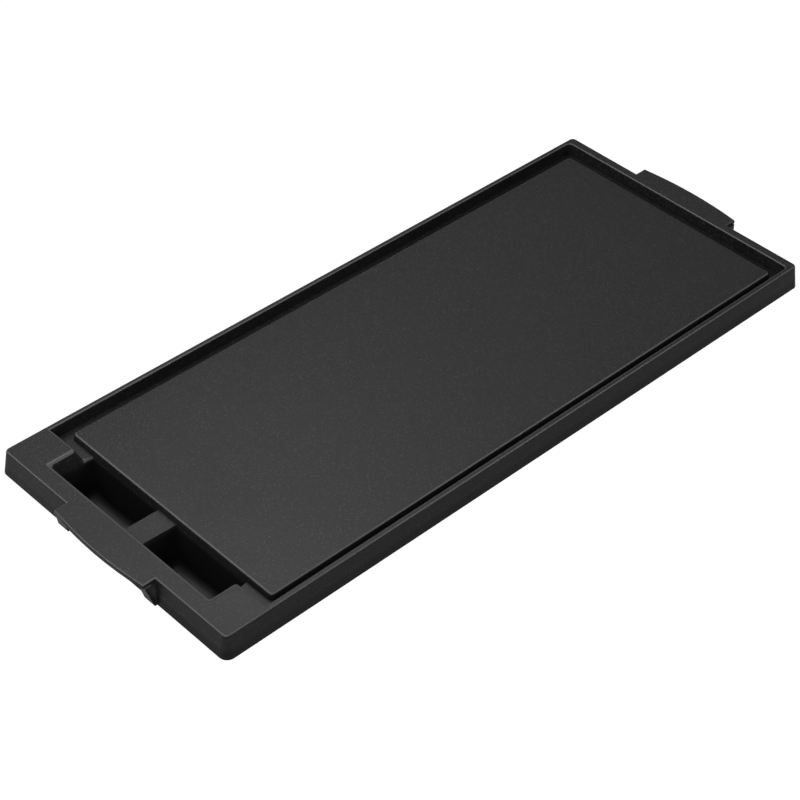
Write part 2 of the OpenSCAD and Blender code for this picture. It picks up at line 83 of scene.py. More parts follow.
def add_softbox(name, place, aim, size, power):
    data = bpy.data.lights.new(name, "AREA")
    data.shape = "RECTANGLE"
    data.size, data.size_y = size
    data.energy = power
    light = bpy.data.objects.new(name, data)
    light.location = place
    light.rotation_euler = (Vector(aim) - Vector(place)).to_track_quat("-Z", "Y").to_euler()
    scene.collection.objects.link(light)
    return light


def seen_white(tree, shader, seen, strength):
    """Mix that looks evenly white where it is seen, and lights the object with the shader's own strength."""
    path = tree.nodes.new("ShaderNodeLightPath")
    mix = tree.nodes.new("ShaderNodeMixShader")
    white = tree.nodes.new(seen)
    white.inputs["Color"].default_value = (1, 1, 1, 1)
    white.inputs["Strength"].default_value = strength
    tree.links.new(path.outputs["Is Camera Ray"], mix.inputs[0])
    tree.links.new(shader.outputs[0], mix.inputs[1])
    tree.links.new(white.outputs[0], mix.inputs[2])
    return mix


def add_studio():
    """White table and walls, soft boxes overhead, behind and at the drip end's corner."""
    bpy.ops.mesh.primitive_plane_add(size=12, location=(0, 0, 0))
    floor = bpy.context.object
    floor.name = "studio_floor"
    mat = bpy.data.materials.new("floor_white")
    mat.use_nodes = True
    shader = mat.node_tree.nodes["Principled BSDF"]
    shader.inputs["Base Color"].default_value = (0.25, 0.25, 0.25, 1)
    shader.inputs["Roughness"].default_value = 0.9
    shader.inputs["Specular IOR Level"].default_value = 0.0
    shader.inputs["Emission Color"].default_value = (1, 1, 1, 1)
    shader.inputs["Emission Strength"].default_value = 0.24
    mix = seen_white(mat.node_tree, shader, "ShaderNodeEmission", 1.03)
    mat.node_tree.links.new(mix.outputs[0], mat.node_tree.nodes["Material Output"].inputs["Surface"])
    floor.data.materials.append(mat)
    world = bpy.data.worlds.new("studio")
    world.use_nodes = True
    backdrop = world.node_tree.nodes["Background"]
    backdrop.inputs["Color"].default_value = (1, 1, 1, 1)
    backdrop.inputs["Strength"].default_value = 0.2
    mix = seen_white(world.node_tree, backdrop, "ShaderNodeBackground", 1.03)
    world.node_tree.links.new(mix.outputs[0], world.node_tree.nodes["World Output"].inputs["Surface"])
    scene.world = world
    add_softbox("overhead_box", (-0.15, 0.25, 0.75), (-0.15, 0, 0), (0.8, 0.8), 7.1)
    add_softbox("near_box", (0.05, 0.15, 0.5), (-0.2, -0.05, 0), (0.35, 0.35), 0.6)
    add_softbox("back_strip", (0.75, 0.55, 0.75), (0.1, 0, 0), (0.8, 0.25), 1.5)
    add_softbox("corner_fill", (-0.9, -0.5, 0.6), (-0.2, 0, 0.03), (0.8, 0.8), 8.6)
    add_softbox("front_glint", (0.62, -0.8, 0.65), (0, 0, 0.04), (0.5, 0.12), 4.0)
    add_softbox("back_glint", (-0.8, 0.62, 0.65), (-0.1, 0, 0.04), (0.5, 0.12), 2.5)


# ---- finishes ----

FINISHES = {}
VALUE = "NodeSocketFloat"
VECTOR = "NodeSocketVector"
COLOUR = "NodeSocketColor"


def place(tree, kind, values=None, **settings):
    """New node with these settings and input values."""
    node = tree.nodes.new(kind)
    for key, value in settings.items():
        setattr(node, key, value)
    for key, value in (values or {}).items():
        node.inputs[key].default_value = value
    return node


def wire(tree, *pairs):
    for start, end in pairs:
        tree.links.new(start, end)


def new_group(name, inputs, outputs):
    """Empty node group with these sockets, and its two end nodes."""
    group = bpy.data.node_groups.new(name, "ShaderNodeTree")
    for label, kind, value in inputs:
        group.interface.new_socket(label, in_out="INPUT", socket_type=kind).default_value = value
    for label, kind in outputs:
        group.interface.new_socket(label, in_out="OUTPUT", socket_type=kind)
    return group, group.nodes.new("NodeGroupInput"), group.nodes.new("NodeGroupOutput")


def ramp(tree, source, low, high):
    """Value that goes from 0 at low to 1 at high."""
    node = place(tree, "ShaderNodeMapRange", {"From Min": low, "From Max": high})
    wire(tree, (source, node.inputs["Value"]))
    return node.outputs["Result"]


def maths(tree, operation, first, second):
    """Result of a sum on two sockets or numbers."""
    node = place(tree, "ShaderNodeMath", operation=operation)
    for index, value in enumerate((first, second)):
        if isinstance(value, (int, float)):
            node.inputs[index].default_value = value
        else:
            wire(tree, (value, node.inputs[index]))
    return node.outputs[0]


def blend_colour(tree, share, first, second):
    """Colour between two sockets or colours, by a mask."""
    node = place(tree, "ShaderNodeMix", data_type="RGBA")
    wire(tree, (share, node.inputs[0]))
    for index, value in ((6, first), (7, second)):
        if isinstance(value, tuple):
            node.inputs[index].default_value = value
        else:
            wire(tree, (value, node.inputs[index]))
    return node.outputs[2]


def make_pebble_grain():
    """Fine pebbles of a cast or sprayed finish, and a few bright flecks in it."""
    group, start, end = new_group(
        "pebble_grain",
        [("Place", VECTOR, (0, 0, 0)), ("Scale", VALUE, 900), ("Depth", VALUE, 0.00005), ("Strength", VALUE, 0.5)],
        [("Normal", VECTOR), ("Fleck", VALUE), ("Height", VALUE)],
    )
    noise = place(group, "ShaderNodeTexNoise", {"Detail": 3, "Roughness": 0.65})
    cells = place(group, "ShaderNodeTexVoronoi", feature="F1")
    flakes = place(group, "ShaderNodeTexVoronoi", feature="F1")
    wire(
        group,
        (start.outputs["Place"], noise.inputs["Vector"]),
        (start.outputs["Place"], cells.inputs["Vector"]),
        (start.outputs["Place"], flakes.inputs["Vector"]),
        (start.outputs["Scale"], noise.inputs["Scale"]),
        (maths(group, "MULTIPLY", start.outputs["Scale"], 0.8), cells.inputs["Scale"]),
        (maths(group, "MULTIPLY", start.outputs["Scale"], 0.6), flakes.inputs["Scale"]),
    )
    pebbles = maths(group, "MULTIPLY", cells.outputs["Distance"], -0.6)
    height = maths(group, "ADD", noise.outputs["Fac"], pebbles)
    bump = place(group, "ShaderNodeBump")
    tint = place(group, "ShaderNodeSeparateColor")
    wire(group, (flakes.outputs["Color"], tint.inputs["Color"]))
    chosen = ramp(group, tint.outputs["Red"], 0.6, 1.0)
    spot = ramp(group, flakes.outputs["Distance"], 0.5, 0.15)
    wire(
        group,
        (start.outputs["Depth"], bump.inputs["Distance"]),
        (start.outputs["Strength"], bump.inputs["Strength"]),
        (height, bump.inputs["Height"]),
        (bump.outputs["Normal"], end.inputs["Normal"]),
        (maths(group, "MULTIPLY", chosen, spot), end.inputs["Fleck"]),
        (height, end.inputs["Height"]),
    )
    return group


def make_handling_wear():
    """Patches and fine rubs where a finish has been wiped and handled, in colour and gloss."""
    group, start, end = new_group(
        "handling_wear",
        [
            ("Place", VECTOR, (0, 0, 0)), ("Fresh", COLOUR, (0.1, 0.1, 0.1, 1)),
            ("Worn", COLOUR, (0.2, 0.2, 0.2, 1)), ("Patches", VALUE, 20), ("Amount", VALUE, 0.5),
            ("Glossy", VALUE, 0.4), ("Dull", VALUE, 0.5),
        ],
        [("Color", COLOUR), ("Roughness", VALUE)],
    )
    patches = place(group, "ShaderNodeTexNoise", {"Detail": 5, "Roughness": 0.6})
    stretch = place(group, "ShaderNodeMapping", {"Scale": (6, 90, 6), "Rotation": (0, 0, 0.5)})
    rubs = place(group, "ShaderNodeTexNoise", {"Scale": 8, "Detail": 4, "Roughness": 0.7})
    wire(
        group,
        (start.outputs["Place"], patches.inputs["Vector"]),
        (start.outputs["Patches"], patches.inputs["Scale"]),
        (start.outputs["Place"], stretch.inputs["Vector"]),
        (stretch.outputs["Vector"], rubs.inputs["Vector"]),
    )
    patch = ramp(group, patches.outputs["Fac"], 0.38, 0.66)
    rub = ramp(group, rubs.outputs["Fac"], 0.6, 0.72)
    both = maths(group, "MAXIMUM", patch, maths(group, "MULTIPLY", rub, 0.7))
    share = maths(group, "MULTIPLY", both, start.outputs["Amount"])
    gloss = place(group, "ShaderNodeMapRange")
    wire(
        group,
        (both, gloss.inputs["Value"]),
        (start.outputs["Glossy"], gloss.inputs["To Min"]),
        (start.outputs["Dull"], gloss.inputs["To Max"]),
        (blend_colour(group, share, start.outputs["Fresh"], start.outputs["Worn"]), end.inputs["Color"]),
        (gloss.outputs["Result"], end.inputs["Roughness"]),
    )
    return group


def make_edge_rub():
    """Mask that is 1 on edges, where a finish is rubbed thin."""
    group, start, end = new_group("edge_rub", [("Width", VALUE, 0.001)], [("Mask", VALUE)])
    rounded = place(group, "ShaderNodeBevel", samples=6)
    surface = place(group, "ShaderNodeNewGeometry")
    match = place(group, "ShaderNodeVectorMath", operation="DOT_PRODUCT")
    wire(
        group,
        (start.outputs["Width"], rounded.inputs["Radius"]),
        (rounded.outputs["Normal"], match.inputs[0]),
        (surface.outputs["Normal"], match.inputs[1]),
        (ramp(group, match.outputs["Value"], 0.99, 0.86), end.inputs["Mask"]),
    )
    return group


def make_crest_highlight():
    """Mask that is 1 on edges rounded over from a level face, above a height; the colour put there is a painted
    highlight.
    """
    group, start, end = new_group("crest_highlight", [("Place", VECTOR, (0, 0, 0)), ("Above", VALUE, 0)], [("Mask", VALUE)])
    surface = place(group, "ShaderNodeNewGeometry")
    lean = place(group, "ShaderNodeSeparateXYZ")
    spot = place(group, "ShaderNodeSeparateXYZ")
    wire(
        group,
        (surface.outputs["Normal"], lean.inputs[0]),
        (start.outputs["Place"], spot.inputs[0]),
    )
    leaning = maths(
        group, "MULTIPLY", ramp(group, lean.outputs["Z"], 0.5, 0.62), ramp(group, lean.outputs["Z"], 0.985, 0.93)
    )
    high = maths(group, "GREATER_THAN", spot.outputs["Z"], start.outputs["Above"])
    wire(group, (maths(group, "MULTIPLY", leaning, high), end.inputs["Mask"]))
    return group


def make_rolled_streaks():
    """Long fine streaks of rolled or drawn metal."""
    group, start, end = new_group(
        "rolled_streaks",
        [("Place", VECTOR, (0, 0, 0)), ("Stretch", VECTOR, (20, 900, 900)), ("Depth", VALUE, 0.00002)],
        [("Normal", VECTOR), ("Streak", VALUE)],
    )
    scaled = place(group, "ShaderNodeVectorMath", operation="MULTIPLY")
    noise = place(group, "ShaderNodeTexNoise", {"Scale": 1, "Detail": 4, "Roughness": 0.6})
    bump = place(group, "ShaderNodeBump", {"Strength": 0.5})
    wire(
        group,
        (start.outputs["Place"], scaled.inputs[0]),
        (start.outputs["Stretch"], scaled.inputs[1]),
        (scaled.outputs["Vector"], noise.inputs["Vector"]),
        (start.outputs["Depth"], bump.inputs["Distance"]),
        (noise.outputs["Fac"], bump.inputs["Height"]),
        (bump.outputs["Normal"], end.inputs["Normal"]),
        (noise.outputs["Fac"], end.inputs["Streak"]),
    )
    return group


PEBBLE_GRAIN = make_pebble_grain()
HANDLING_WEAR = make_handling_wear()
EDGE_RUB = make_edge_rub()
CREST_HIGHLIGHT = make_crest_highlight()
ROLLED_STREAKS = make_rolled_streaks()


def use_group(tree, group, **values):
    """The group placed in a material, with its values."""
    node = tree.nodes.new("ShaderNodeGroup")
    node.node_tree = group
    for key, value in values.items():
        node.inputs[key].default_value = value
    return node


def make_finish(name, fresh, worn, gloss, metal=0.0, patches=18.0, amount=0.5, edge=None, fleck=None,
                grain=None, streaks=None, sheen=0.5, highlight_above=None, painted_shade_below=None):
    """A finish: wear in colour and gloss, then grain or streaks, rubbed edges and flecks where given, with a painted
    edge highlight and painted shade in deep places where asked.

    gloss is (roughness when wiped, roughness when dull), edge (colour, width), fleck a colour,
    highlight_above the height above which rounded-over edges get the edge colour as a painted highlight,
    painted_shade_below the height below which the colour is painted near-black as painted shade,
    grain (scale, depth, strength) and streaks (stretch, depth).
    """
    mat = bpy.data.materials.new(name)
    mat.use_nodes = True
    tree = mat.node_tree
    shader = tree.nodes["Principled BSDF"]
    shader.inputs["Metallic"].default_value = metal
    shader.inputs["Specular IOR Level"].default_value = sheen
    where = place(tree, "ShaderNodeTexCoord").outputs["Object"]
    wear = use_group(
        tree, HANDLING_WEAR, Fresh=(*fresh, 1), Worn=(*worn, 1), Patches=patches, Amount=amount,
        Glossy=gloss[0], Dull=gloss[1],
    )
    wire(tree, (where, wear.inputs["Place"]), (wear.outputs["Roughness"], shader.inputs["Roughness"]))
    colour = wear.outputs["Color"]
    if grain:
        pebbles = use_group(tree, PEBBLE_GRAIN, Scale=grain[0], Depth=grain[1], Strength=grain[2])
        wire(tree, (where, pebbles.inputs["Place"]), (pebbles.outputs["Normal"], shader.inputs["Normal"]))
        if fleck:
            colour = blend_colour(tree, pebbles.outputs["Fleck"], colour, (*fleck, 1))
    if streaks:
        drawn = use_group(tree, ROLLED_STREAKS, Stretch=streaks[0], Depth=streaks[1])
        wire(tree, (where, drawn.inputs["Place"]), (drawn.outputs["Normal"], shader.inputs["Normal"]))
    if edge:
        if highlight_above is None:
            rub = use_group(tree, EDGE_RUB, Width=edge[1])
        else:
            # painted highlight: the crest mask lightens rounded-over upper edges with the edge colour
            rub = use_group(tree, CREST_HIGHLIGHT, Above=highlight_above)
            wire(tree, (where, rub.inputs["Place"]))
        mask = rub.outputs["Mask"]
        colour = blend_colour(tree, mask, colour, (*edge[0], 1))
        polish = maths(tree, "MULTIPLY", mask, -0.14)
        wire(tree, (maths(tree, "ADD", wear.outputs["Roughness"], polish), shader.inputs["Roughness"]))
    # painted shade: below painted_shade_below the colour is pushed to near-black, darkening the chutes and channels
    # where shade falls
    if painted_shade_below is not None:
        height = place(tree, "ShaderNodeSeparateXYZ")
        wire(tree, (where, height.inputs[0]))
        painted_shade = ramp(tree, height.outputs["Z"], painted_shade_below, painted_shade_below - 3 * MM)
        colour = blend_colour(tree, painted_shade, colour, (0.002, 0.002, 0.002, 1))
    wire(tree, (colour, shader.inputs["Base Color"]))
    FINISHES[name] = mat
    return mat


def make_finishes():
    along_x_streaks = (25, 900, 900)
    along_y_streaks = (900, 25, 900)
    round_streaks = (500, 500, 40)
    # coated_casting: its edge colour is a painted highlight on the upper rounded edges, not wear
    make_finish(
        "coated_casting", (0.0055, 0.0055, 0.0057), (0.0085, 0.0085, 0.0087), (0.38, 0.46), patches=14,
        edge=((0.05, 0.05, 0.051), 0), fleck=(0.034, 0.032, 0.03), grain=(1500, 0.0001, 0.8), sheen=0.16,
        highlight_above=CHANNEL_Z - 3 * MM, painted_shade_below=CHANNEL_Z - 0.1 * MM,
    )
    make_finish(
        "element_sheath", (0.17, 0.15, 0.125), (0.06, 0.062, 0.085), (0.32, 0.55), metal=1, patches=30,
        amount=0.8, streaks=(round_streaks, 0.00001),
    )
    make_finish(
        "bright_steel", (0.62, 0.62, 0.61), (0.45, 0.44, 0.42), (0.16, 0.3), metal=1, patches=60,
        streaks=(round_streaks, 0.000008),
    )
    make_finish(
        "ceramic", (0.82, 0.79, 0.7), (0.6, 0.55, 0.46), (0.4, 0.6), patches=80, amount=0.35,
        grain=(1500, 0.00002, 0.3),
    )
    make_finish(
        "plated_steel", (0.56, 0.56, 0.58), (0.36, 0.36, 0.38), (0.24, 0.42), metal=1, patches=90,
        edge=((0.7, 0.7, 0.7), 0.0003), grain=(2500, 0.00001, 0.2),
    )
    make_finish(
        "reflector_sheet", (0.72, 0.72, 0.7), (0.42, 0.38, 0.33), (0.22, 0.45), metal=1, patches=16,
        amount=0.6, streaks=(along_x_streaks, 0.00001),
    )
    make_finish(
        "pan_paint", (0.022, 0.022, 0.023), (0.05, 0.048, 0.045), (0.38, 0.55), patches=22,
        edge=((0.09, 0.088, 0.085), 0.0008), grain=(1300, 0.00004, 0.35),
    )
    make_finish(
        "black_phenolic", (0.016, 0.016, 0.016), (0.035, 0.034, 0.033), (0.34, 0.5), patches=45,
        edge=((0.05, 0.05, 0.05), 0.0004), grain=(1800, 0.00002, 0.3),
    )
    make_finish(
        "rail_steel", (0.5, 0.5, 0.51), (0.34, 0.33, 0.32), (0.28, 0.46), metal=1, patches=40,
        streaks=(along_x_streaks, 0.00001),
    )
    make_finish(
        "tray_sheet", (0.014, 0.014, 0.0138), (0.024, 0.023, 0.022), (0.38, 0.52), metal=0, patches=24,
        amount=0.6, edge=((0.09, 0.09, 0.088), 0.0006), streaks=(along_y_streaks, 0.000015), sheen=0.25,
    )
    make_finish(
        "foot_rubber", (0.018, 0.018, 0.018), (0.05, 0.048, 0.046), (0.62, 0.8), patches=70,
        grain=(1600, 0.00005, 0.5),
    )


# ---- modelling helpers ----


def only(piece):
    """Make piece the one selected and active object."""
    bpy.ops.object.select_all(action="DESELECT")
    piece.select_set(True)
    bpy.context.view_layer.objects.active = piece


def edit(piece, kind="EDGE"):
    """Open piece in edit mode with nothing selected."""
    only(piece)
    bpy.ops.object.mode_set(mode="EDIT")
    bpy.ops.mesh.select_mode(type=kind)
    bpy.ops.mesh.select_all(action="DESELECT")
    bpy.ops.object.mode_set(mode="OBJECT")


def pick_edges(piece, wanted):
    """Select the edges for which wanted(a, b) holds, a and b being their ends, and go to edit mode."""
    edit(piece, "EDGE")
    spots = piece.data.vertices
    for edge in piece.data.edges:
        a, b = (spots[i].co for i in edge.vertices)
        edge.select = bool(wanted(a, b))
    bpy.ops.object.mode_set(mode="EDIT")


def pick_faces(piece, wanted):
    """Select the faces for which wanted(centre, normal) holds, and go to edit mode."""
    edit(piece, "FACE")
    for face in piece.data.polygons:
        face.select = bool(wanted(face.center, face.normal))
    bpy.ops.object.mode_set(mode="EDIT")


def done():
    bpy.ops.object.mode_set(mode="OBJECT")


def settle(piece):
    """Put the piece's place, turn and size into its mesh."""
    only(piece)
    bpy.ops.object.transform_apply(location=True, rotation=True, scale=True)


def add_block(name, low, high):
    """Block from its low corner to its high corner, in millimetres."""
    low, high = Vector(low) * MM, Vector(high) * MM
    bpy.ops.object.select_all(action="DESELECT")
    bpy.ops.mesh.primitive_cube_add(size=1, location=(low + high) / 2)
    piece = bpy.context.object
    piece.name = name
    piece.scale = high - low
    settle(piece)
    return piece


def add_drum(name, centre, radius, depth, sides=48, axis="Z"):
    """Cylinder standing on centre and going depth along the axis, in millimetres."""
    turn = {"Z": (0, 0, 0), "Y": (-math.pi / 2, 0, 0), "X": (0, math.pi / 2, 0)}[axis]
    ahead = {"Z": Vector((0, 0, 1)), "Y": Vector((0, 1, 0)), "X": Vector((1, 0, 0))}[axis]
    place = (Vector(centre) + ahead * depth / 2) * MM
    bpy.ops.object.select_all(action="DESELECT")
    bpy.ops.mesh.primitive_cylinder_add(
        vertices=sides, radius=radius * MM, depth=depth * MM, location=place, rotation=turn
    )
    piece = bpy.context.object
    piece.name = name
    settle(piece)
    return piece


def use_modifier(piece, kind, **values):
    """Add a modifier with these values and apply it."""
    only(piece)
    modifier = piece.modifiers.new(kind.lower(), kind)
    for key, value in values.items():
        setattr(modifier, key, value)
    bpy.ops.object.modifier_apply(modifier=modifier.name)


def cut(piece, *tools):
    """Take the tools' shapes out of the piece."""
    for tool in tools:
        use_modifier(piece, "BOOLEAN", operation="DIFFERENCE", object=tool, solver="EXACT")
        bpy.data.objects.remove(tool)


def smooth(piece, degrees=35):
    only(piece)
    bpy.ops.object.shade_smooth_by_angle(angle=math.radians(degrees))


def outward(piece):
    """Merge doubles and point every face outwards."""
    edit(piece)
    bpy.ops.object.mode_set(mode="EDIT")
    bpy.ops.mesh.select_all(action="SELECT")
    bpy.ops.mesh.remove_doubles(threshold=0.001 * MM)
    bpy.ops.mesh.normals_make_consistent(inside=False)
    done()


def copy_at(piece, name, offset, mirrored_y=False):
    """Another of the same piece with its own mesh, moved by offset millimetres."""
    twin = bpy.data.objects.new(name, piece.data.copy())
    scene.collection.objects.link(twin)
    twin.location = Vector(offset) * MM
    if mirrored_y:
        twin.scale.y = -1
    settle(twin)
    if mirrored_y:
        outward(twin)
    return twin


def finish_piece(piece, node):
    """Tie the piece to its body, the CAD node it stands for and its finish."""
    finish = SLOT_OF[node]
    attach(piece, "tray" if node == "drip_tray" else "griddle")
    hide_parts(node)
    piece.data.materials.clear()
    piece.data.materials.append(FINISHES[finish])


# ---- carried-over shapes with eased edges ----


def flat_faces(piece):
    """Join the loose triangles of a copied mesh into whole faces."""
    edit(piece)
    bpy.ops.object.mode_set(mode="EDIT")
    bpy.ops.mesh.select_all(action="SELECT")
    bpy.ops.mesh.remove_doubles(threshold=0.002 * MM)
    bpy.ops.mesh.dissolve_limited(angle_limit=math.radians(0.3))
    done()


def soften(piece, width, steps=2, angle=35):
    """Round every crease a little, and shade flat faces flat."""
    use_modifier(
        piece, "BEVEL", limit_method="ANGLE", angle_limit=math.radians(angle), width=width * MM, segments=steps
    )
    smooth(piece, 40)
    use_modifier(piece, "WEIGHTED_NORMAL", keep_sharp=True)


def copy_of_node(node, name):
    piece = bpy.data.objects.new(name, frame["nodes"][node].data.copy())
    scene.collection.objects.link(piece)
    flat_faces(piece)
    return piece


def make_eased(node, name, width):
    """The node's own shape with its sheet or moulded edges eased."""
    piece = copy_of_node(node, name)
    soften(piece, width)
    finish_piece(piece, node)


# ---- drip tray ----

TRAY_BACK_X = -217
TRAY_FOOT_X = -255
TRAY_FLANGE_Z = 21.8
TRAY_SHEET = 1.2
TRAY_HALF_W = 86
PULL_HALF_W = 34


def bisect_all(piece, spot, normal):
    """Cut every face of the piece along a plane, in millimetres, keeping both sides."""
    only(piece)
    bpy.ops.object.mode_set(mode="EDIT")
    bpy.ops.mesh.select_all(action="SELECT")
    bpy.ops.mesh.bisect(plane_co=Vector(spot) * MM, plane_no=normal)
    done()


def pull_edges(piece, wanted, offset):
    """Extrude the chosen edges by an offset in millimetres."""
    pick_edges(piece, wanted)
    bpy.ops.mesh.extrude_region_move(TRANSFORM_OT_translate={"value": Vector(offset) * MM})
    done()


def shift_edges(piece, wanted, offset):
    """Move the chosen edges by an offset in millimetres."""
    pick_edges(piece, wanted)
    bpy.ops.transform.translate(value=Vector(offset) * MM)
    done()


def both(a, b, **limits):
    """Whether both ends have these coordinates, in millimetres."""
    return all(abs(getattr(p, axis) / MM - value) < 0.05 for p in (a, b) for axis, value in limits.items())


def make_tray():
    """Pressed tray: a low back, a front that leans out to a turned lip, and side flanges for the rails."""
    lean = -6.44
    back_h = 6
    floor_z = 8
    tray = add_block("tray_pan", (TRAY_FOOT_X, -TRAY_HALF_W, floor_z), (TRAY_BACK_X, TRAY_HALF_W, TRAY_FLANGE_Z))
    bisect_all(tray, (0, 0, floor_z + back_h), (0, 0, 1))
    for side in (-1, 1):
        bisect_all(tray, (0, side * PULL_HALF_W, 0), (0, 1, 0))
    pick_faces(tray, lambda c, n: n.z > 0.9 or (n.x > 0.9 and c.z > (floor_z + back_h) * MM))
    bpy.ops.mesh.delete(type="FACE")
    done()
    shift_edges(tray, lambda a, b: both(a, b, x=TRAY_FOOT_X, z=TRAY_FLANGE_Z), (lean, 0, 0))
    shift_edges(
        tray, lambda a, b: both(a, b, x=TRAY_FOOT_X, z=floor_z + back_h),
        (lean * back_h / (TRAY_FLANGE_Z - floor_z), 0, 0),
    )
    front_x = TRAY_FOOT_X + lean
    for side in (-1, 1):
        pull_edges(
            tray, lambda a, b: both(a, b, y=side * TRAY_HALF_W, z=TRAY_FLANGE_Z), (0, side * 4, 0)
        )
    pull_edges(tray, lambda a, b: both(a, b, x=front_x, z=TRAY_FLANGE_Z), (-2.36, 0, 0))
    lip_x = front_x - 2.36
    pull_edges(
        tray,
        lambda a, b: both(a, b, x=lip_x, z=TRAY_FLANGE_Z) and abs(a.y + b.y) < 2 * MM,
        (0, 0, -2.3),
    )
    outward(tray)
    flat_faces(tray)
    folds = lambda a, b: (
        both(a, b, z=floor_z)
        or both(a, b, z=TRAY_FLANGE_Z, y=TRAY_HALF_W)
        or both(a, b, z=TRAY_FLANGE_Z, y=-TRAY_HALF_W)
        or both(a, b, z=TRAY_FLANGE_Z, x=front_x)
        or (min(a.z, b.z) < 8.1 * MM and max(a.z, b.z) > 21 * MM)
    )
    pick_edges(tray, folds)
    bpy.ops.mesh.bevel(offset=1.5 * MM, segments=3, affect="EDGES")
    done()
    use_modifier(tray, "SOLIDIFY", thickness=TRAY_SHEET * MM, offset=-1, use_even_offset=True)
    soften(tray, 0.25)
    finish_piece(tray, "drip_tray")


# ---- pressed pans ----


def make_tub(name, low, high, corner, sheet):
    """Open pressed pan with rounded corners and a rounded fold round its floor."""
    tub = add_block(name, low, high)
    pick_edges(tub, lambda a, b: abs(a.z - b.z) > MM)
    bpy.ops.mesh.bevel(offset=corner * MM, segments=8, affect="EDGES")
    done()
    pick_faces(tub, lambda c, n: n.z > 0.9)
    bpy.ops.mesh.delete(type="FACE")
    done()
    pick_edges(tub, lambda a, b: both(a, b, z=low[2]))
    bpy.ops.mesh.bevel(offset=2.2 * MM, segments=4, affect="EDGES")
    done()
    use_modifier(tub, "SOLIDIFY", thickness=sheet * MM, offset=-1, use_even_offset=True)
    return tub


def joined(tools):
    """Separate tools as one object."""
    bpy.ops.object.select_all(action="DESELECT")
    for tool in tools:
        tool.select_set(True)
    bpy.context.view_layer.objects.active = tools[0]
    bpy.ops.object.join()
    return tools[0]


POST_SPOTS = [(x, y) for x in (-146, 18, 202) for y in (-49, 49)]
FOOT_SPOTS = [(x, y) for x in (-184, 222) for y in (-74, 74)]
INLET_SPOTS = [109.5, 180.5]
INLET_HOLES = [(109.5, 2.2), (130, 4), (145, 4), (160, 4), (180.5, 2.2)]
INLET_Z = 18.5


def make_base_pan():
    """Base pan with its holes, cooling slots and two grooves pressed along its floor."""
    pan = make_tub("base_pan_pressing", (-206, -92, 8), (244, 92, 25), 12, 1.2)
    tools = [add_drum("hole", (x, y, 7), 2.2, 4, 24) for x, y in POST_SPOTS + FOOT_SPOTS]
    tools += [add_drum("hole", (x, 87, INLET_Z), r, 8, 32, "Y") for x, r in INLET_HOLES]
    slot_tool = add_block("slot", (-62, 16, 7), (-58, 44, 11))
    pick_edges(slot_tool, lambda a, b: abs(a.z - b.z) > MM)
    bpy.ops.mesh.bevel(offset=1.9 * MM, segments=4, affect="EDGES")
    done()
    for step in range(9):
        for shift in (0, -60):
            tools.append(copy_at(slot_tool, "slot", (20 * step, shift, 0)))
    bpy.data.objects.remove(slot_tool)
    cut(pan, joined(tools))
    cut(pan, joined([add_drum("groove", (-165, y, 5.5), 3, 368, 24, "X") for y in (-58, 58)]))
    soften(pan, 0.2, 1)
    finish_piece(pan, "base_pan")


def make_reflector():
    sheet = make_tub("reflector_pressing", (-198, -78, 21), (236, 78, 25), 8, 0.8)
    cut(sheet, joined([add_drum("hole", (x, y, 20), 2.2, 4, 24) for x, y in POST_SPOTS]))
    soften(sheet, 0.15, 1)
    finish_piece(sheet, "heat_reflector")


# ---- feet and fixings ----


def bevel_level(piece, z, width, steps):
    """Round the edges that lie at a level, in millimetres."""
    pick_edges(piece, lambda a, b: both(a, b, z=z))
    bpy.ops.mesh.bevel(offset=width * MM, segments=steps, affect="EDGES")
    done()


def place_copies(first, name, node, spots):
    """Copies of a piece modelled at the origin, one at each spot, in millimetres."""
    for number, spot in enumerate(spots, 1):
        finish_piece(copy_at(first, f"{name}_{number}", spot), node)
    bpy.data.objects.remove(first)


def make_feet():
    """Moulded feet with a chamfered tread, a counterbore for the screw and two grip rings."""
    foot = add_drum("foot", (0, 0, 0), 10, 8, 64)
    bevel_level(foot, 0, 1.2, 3)
    for z in (4, 5.8):
        bpy.ops.mesh.primitive_torus_add(
            major_radius=10.1 * MM, minor_radius=0.45 * MM, major_segments=64, minor_segments=8,
            location=(0, 0, z * MM),
        )
        ring = bpy.context.object
        settle(ring)
        cut(foot, ring)
    cut(foot, add_drum("bore", (0, 0, -1), 4.5, 5, 32), add_drum("hole", (0, 0, 3), 2.2, 6, 24))
    soften(foot, 0.25)
    place_copies(foot, "foot", "rubber_feet", [(x, y, 0) for x, y in FOOT_SPOTS])


def make_screw(name, diameter, length, head_d, head_h):
    """Pan-head screw, head down: domed head with a six-sided socket, shank with a tapered end."""
    screw = add_drum(name, (0, 0, -head_h), head_d / 2, head_h, 40)
    bevel_level(screw, -head_h, 0.45 * head_h, 4)
    cut(screw, add_drum("socket", (0, 0, -head_h - 1), 0.375 * diameter, 1 + 0.6 * head_h, 6))
    shank = add_drum("shank", (0, 0, -0.1), diameter / 2, length + 0.1, 32)
    bevel_level(shank, length, 0.7, 2)
    use_modifier(screw, "BOOLEAN", operation="UNION", object=shank, solver="EXACT")
    bpy.data.objects.remove(shank)
    smooth(screw, 35)
    return screw


def make_nut(name):
    """Hexagon nut, 7 mm across flats, with its corners turned off and its thread's mouth eased."""
    nut = add_drum(name, (0, 0, 0), 3.5 / math.cos(math.pi / 6), 3.2, 6)
    collar = add_drum("collar", (0, 0, -0.1), 4.25, 3.4, 48)
    for z in (-0.1, 3.3):
        bevel_level(collar, z, 0.8, 1)
    use_modifier(nut, "BOOLEAN", operation="INTERSECT", object=collar, solver="EXACT")
    bpy.data.objects.remove(collar)
    cut(nut, add_drum("thread", (0, 0, -1), 2, 6, 32))
    soften(nut, 0.15)
    return nut


